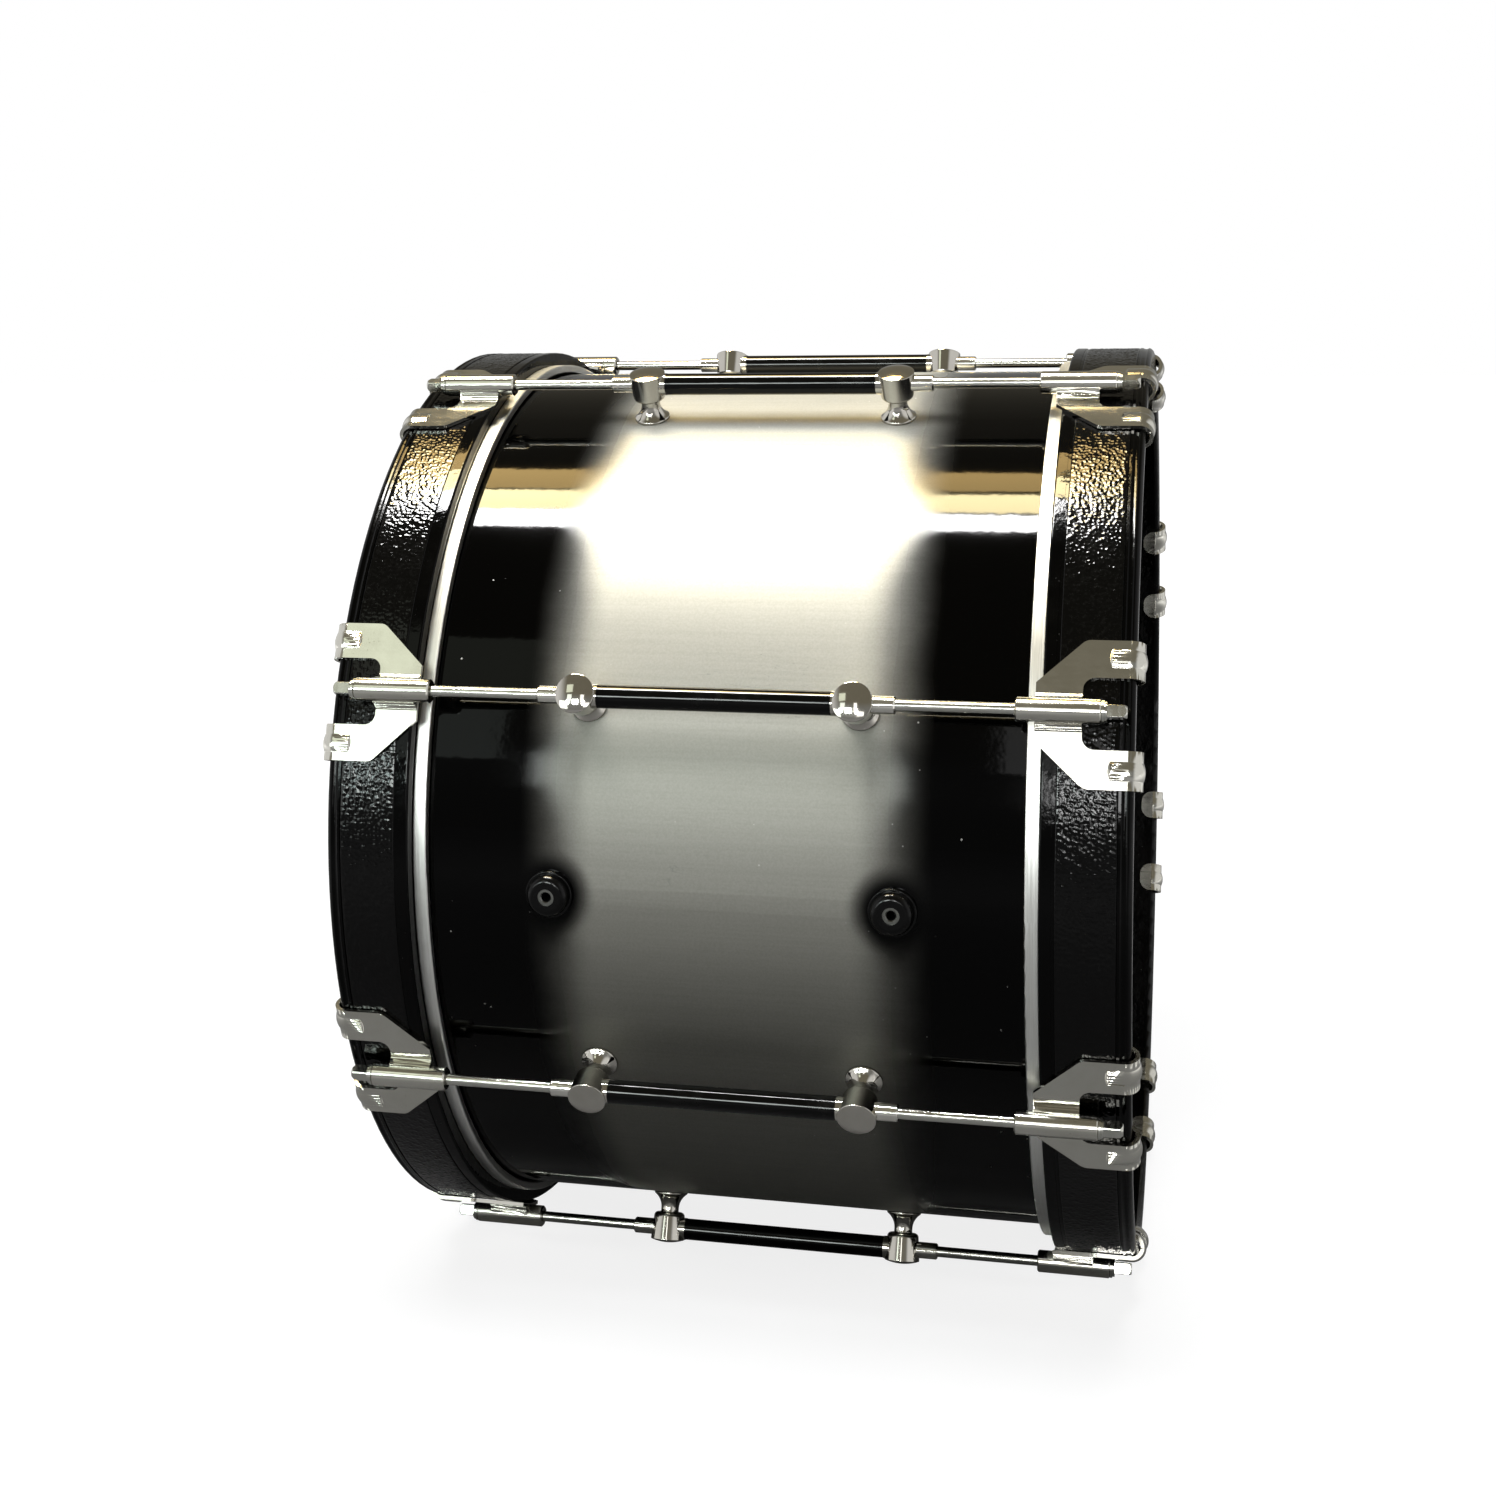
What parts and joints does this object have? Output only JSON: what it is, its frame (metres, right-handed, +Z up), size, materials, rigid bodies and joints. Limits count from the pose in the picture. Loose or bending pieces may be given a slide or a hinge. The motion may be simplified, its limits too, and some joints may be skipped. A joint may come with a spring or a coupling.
{
  "type": "marching bass drum",
  "caption": "Marching bass drum: a wooden shell with tube lugs, wooden hoops held by claw hooks and key rods, two heads and carrier bosses.",
  "frame": {"origin": "middle of the drum: on its axis, halfway between its two heads", "axes": "X along the drum's axis, +X to the right-hand head as the player's side is seen; +Z up; the player's side, with the carrier bosses, faces -Y"},
  "size_m": [0.4248, 0.535, 0.535],
  "materials": {
    "shell_lacquer": "gloss black lacquer with a satin silver fade round the middle",
    "hoop_lacquer": "gloss black lacquer",
    "hoop_grain": "pebbled black",
    "head_film": "smooth white film",
    "flesh_aluminium": "satin",
    "chrome": "polished",
    "claw_chrome": "soft polished",
    "nut_chrome": "polished",
    "rod_steel": "worn plating",
    "black_tube": "gloss black",
    "black_boss": "gloss black",
    "insert_steel": "dark turned",
    "zinc_steel": "zinc plated"
  },
  "bodies": {
    "drum_shell": {"shell": "shell_lacquer", "lug_tubes": "black_tube", "tube_collars": "chrome", "post_screws": "zinc_steel", "post_washers": "zinc_steel", "carrier_bosses": "black_boss", "boss_inserts": "insert_steel", "boss_nuts": "zinc_steel", "boss_washers": "zinc_steel", "lug_posts_left": "chrome", "lug_posts_right": "chrome", "swivel_nuts_left": "nut_chrome", "swivel_nuts_right": "nut_chrome"},
    "left_hoop": {"wood_hoop_left": "hoop_lacquer", "hoop_inlay_left": "hoop_grain", "drumhead_left": "head_film", "flesh_hoop_left": "flesh_aluminium", "claw_sleeves_left": "claw_chrome", "rod_washers_left": "rod_steel", "claw_left_1": "claw_chrome", "claw_left_2": "claw_chrome", "claw_left_3": "claw_chrome", "claw_left_4": "claw_chrome", "claw_left_5": "claw_chrome", "claw_left_6": "claw_chrome", "claw_left_7": "claw_chrome", "claw_left_8": "claw_chrome"},
    "left_rod_1": {"tension_rod_left_1": "rod_steel"},
    "left_rod_2": {"tension_rod_left_2": "rod_steel"},
    "left_rod_3": {"tension_rod_left_3": "rod_steel"},
    "left_rod_4": {"tension_rod_left_4": "rod_steel"},
    "left_rod_5": {"tension_rod_left_5": "rod_steel"},
    "left_rod_6": {"tension_rod_left_6": "rod_steel"},
    "left_rod_7": {"tension_rod_left_7": "rod_steel"},
    "left_rod_8": {"tension_rod_left_8": "rod_steel"},
    "right_hoop": {"wood_hoop_right": "hoop_lacquer", "hoop_inlay_right": "hoop_grain", "drumhead_right": "head_film", "flesh_hoop_right": "flesh_aluminium", "claw_sleeves_right": "claw_chrome", "rod_washers_right": "rod_steel", "claw_right_1": "claw_chrome", "claw_right_2": "claw_chrome", "claw_right_3": "claw_chrome", "claw_right_4": "claw_chrome", "claw_right_5": "claw_chrome", "claw_right_6": "claw_chrome", "claw_right_7": "claw_chrome", "claw_right_8": "claw_chrome"},
    "right_rod_1": {"tension_rod_right_1": "rod_steel"},
    "right_rod_2": {"tension_rod_right_2": "rod_steel"},
    "right_rod_3": {"tension_rod_right_3": "rod_steel"},
    "right_rod_4": {"tension_rod_right_4": "rod_steel"},
    "right_rod_5": {"tension_rod_right_5": "rod_steel"},
    "right_rod_6": {"tension_rod_right_6": "rod_steel"},
    "right_rod_7": {"tension_rod_right_7": "rod_steel"},
    "right_rod_8": {"tension_rod_right_8": "rod_steel"}
  },
  "joints": [
    {"name": "left_hoop_slide", "type": "slide", "parent": "drum_shell", "child": "left_hoop", "axis": [-1, 0, 0], "range_m": [0, 0.008]},
    {"name": "left_rod_1_turn", "type": "hinge", "parent": "left_hoop", "child": "left_rod_1", "pos_m": [0, -0.25407, 0.10524], "axis": [-1, 0, 0], "range_deg": [0, 2880.1]},
    {"name": "left_rod_2_turn", "type": "hinge", "parent": "left_hoop", "child": "left_rod_2", "pos_m": [0, -0.10524, 0.25407], "axis": [-1, 0, 0], "range_deg": [0, 2880.1]},
    {"name": "left_rod_3_turn", "type": "hinge", "parent": "left_hoop", "child": "left_rod_3", "pos_m": [0, 0.10524, 0.25407], "axis": [-1, 0, 0], "range_deg": [0, 2880.1]},
    {"name": "left_rod_4_turn", "type": "hinge", "parent": "left_hoop", "child": "left_rod_4", "pos_m": [0, 0.25407, 0.10524], "axis": [-1, 0, 0], "range_deg": [0, 2880.1]},
    {"name": "left_rod_5_turn", "type": "hinge", "parent": "left_hoop", "child": "left_rod_5", "pos_m": [0, 0.25407, -0.10524], "axis": [-1, 0, 0], "range_deg": [0, 2880.1]},
    {"name": "left_rod_6_turn", "type": "hinge", "parent": "left_hoop", "child": "left_rod_6", "pos_m": [0, 0.10524, -0.25407], "axis": [-1, 0, 0], "range_deg": [0, 2880.1]},
    {"name": "left_rod_7_turn", "type": "hinge", "parent": "left_hoop", "child": "left_rod_7", "pos_m": [0, -0.10524, -0.25407], "axis": [-1, 0, 0], "range_deg": [0, 2880.1]},
    {"name": "left_rod_8_turn", "type": "hinge", "parent": "left_hoop", "child": "left_rod_8", "pos_m": [0, -0.25407, -0.10524], "axis": [-1, 0, 0], "range_deg": [0, 2880.1]},
    {"name": "right_hoop_slide", "type": "slide", "parent": "drum_shell", "child": "right_hoop", "axis": [1, 0, 0], "range_m": [0, 0.008]},
    {"name": "right_rod_1_turn", "type": "hinge", "parent": "right_hoop", "child": "right_rod_1", "pos_m": [0, -0.25407, 0.10524], "axis": [1, 0, 0], "range_deg": [0, 2880.1]},
    {"name": "right_rod_2_turn", "type": "hinge", "parent": "right_hoop", "child": "right_rod_2", "pos_m": [0, -0.10524, 0.25407], "axis": [1, 0, 0], "range_deg": [0, 2880.1]},
    {"name": "right_rod_3_turn", "type": "hinge", "parent": "right_hoop", "child": "right_rod_3", "pos_m": [0, 0.10524, 0.25407], "axis": [1, 0, 0], "range_deg": [0, 2880.1]},
    {"name": "right_rod_4_turn", "type": "hinge", "parent": "right_hoop", "child": "right_rod_4", "pos_m": [0, 0.25407, 0.10524], "axis": [1, 0, 0], "range_deg": [0, 2880.1]},
    {"name": "right_rod_5_turn", "type": "hinge", "parent": "right_hoop", "child": "right_rod_5", "pos_m": [0, 0.25407, -0.10524], "axis": [1, 0, 0], "range_deg": [0, 2880.1]},
    {"name": "right_rod_6_turn", "type": "hinge", "parent": "right_hoop", "child": "right_rod_6", "pos_m": [0, 0.10524, -0.25407], "axis": [1, 0, 0], "range_deg": [0, 2880.1]},
    {"name": "right_rod_7_turn", "type": "hinge", "parent": "right_hoop", "child": "right_rod_7", "pos_m": [0, -0.10524, -0.25407], "axis": [1, 0, 0], "range_deg": [0, 2880.1]},
    {"name": "right_rod_8_turn", "type": "hinge", "parent": "right_hoop", "child": "right_rod_8", "pos_m": [0, -0.25407, -0.10524], "axis": [1, 0, 0], "range_deg": [0, 2880.1]}
  ],
  "couplings": [
    {"joint": "left_rod_1_turn", "follows": "left_hoop_slide", "rad_per_m": 6283.2},
    {"joint": "left_rod_2_turn", "follows": "left_hoop_slide", "rad_per_m": 6283.2},
    {"joint": "left_rod_3_turn", "follows": "left_hoop_slide", "rad_per_m": 6283.2},
    {"joint": "left_rod_4_turn", "follows": "left_hoop_slide", "rad_per_m": 6283.2},
    {"joint": "left_rod_5_turn", "follows": "left_hoop_slide", "rad_per_m": 6283.2},
    {"joint": "left_rod_6_turn", "follows": "left_hoop_slide", "rad_per_m": 6283.2},
    {"joint": "left_rod_7_turn", "follows": "left_hoop_slide", "rad_per_m": 6283.2},
    {"joint": "left_rod_8_turn", "follows": "left_hoop_slide", "rad_per_m": 6283.2},
    {"joint": "right_rod_1_turn", "follows": "right_hoop_slide", "rad_per_m": 6283.2},
    {"joint": "right_rod_2_turn", "follows": "right_hoop_slide", "rad_per_m": 6283.2},
    {"joint": "right_rod_3_turn", "follows": "right_hoop_slide", "rad_per_m": 6283.2},
    {"joint": "right_rod_4_turn", "follows": "right_hoop_slide", "rad_per_m": 6283.2},
    {"joint": "right_rod_5_turn", "follows": "right_hoop_slide", "rad_per_m": 6283.2},
    {"joint": "right_rod_6_turn", "follows": "right_hoop_slide", "rad_per_m": 6283.2},
    {"joint": "right_rod_7_turn", "follows": "right_hoop_slide", "rad_per_m": 6283.2},
    {"joint": "right_rod_8_turn", "follows": "right_hoop_slide", "rad_per_m": 6283.2}
  ]
}
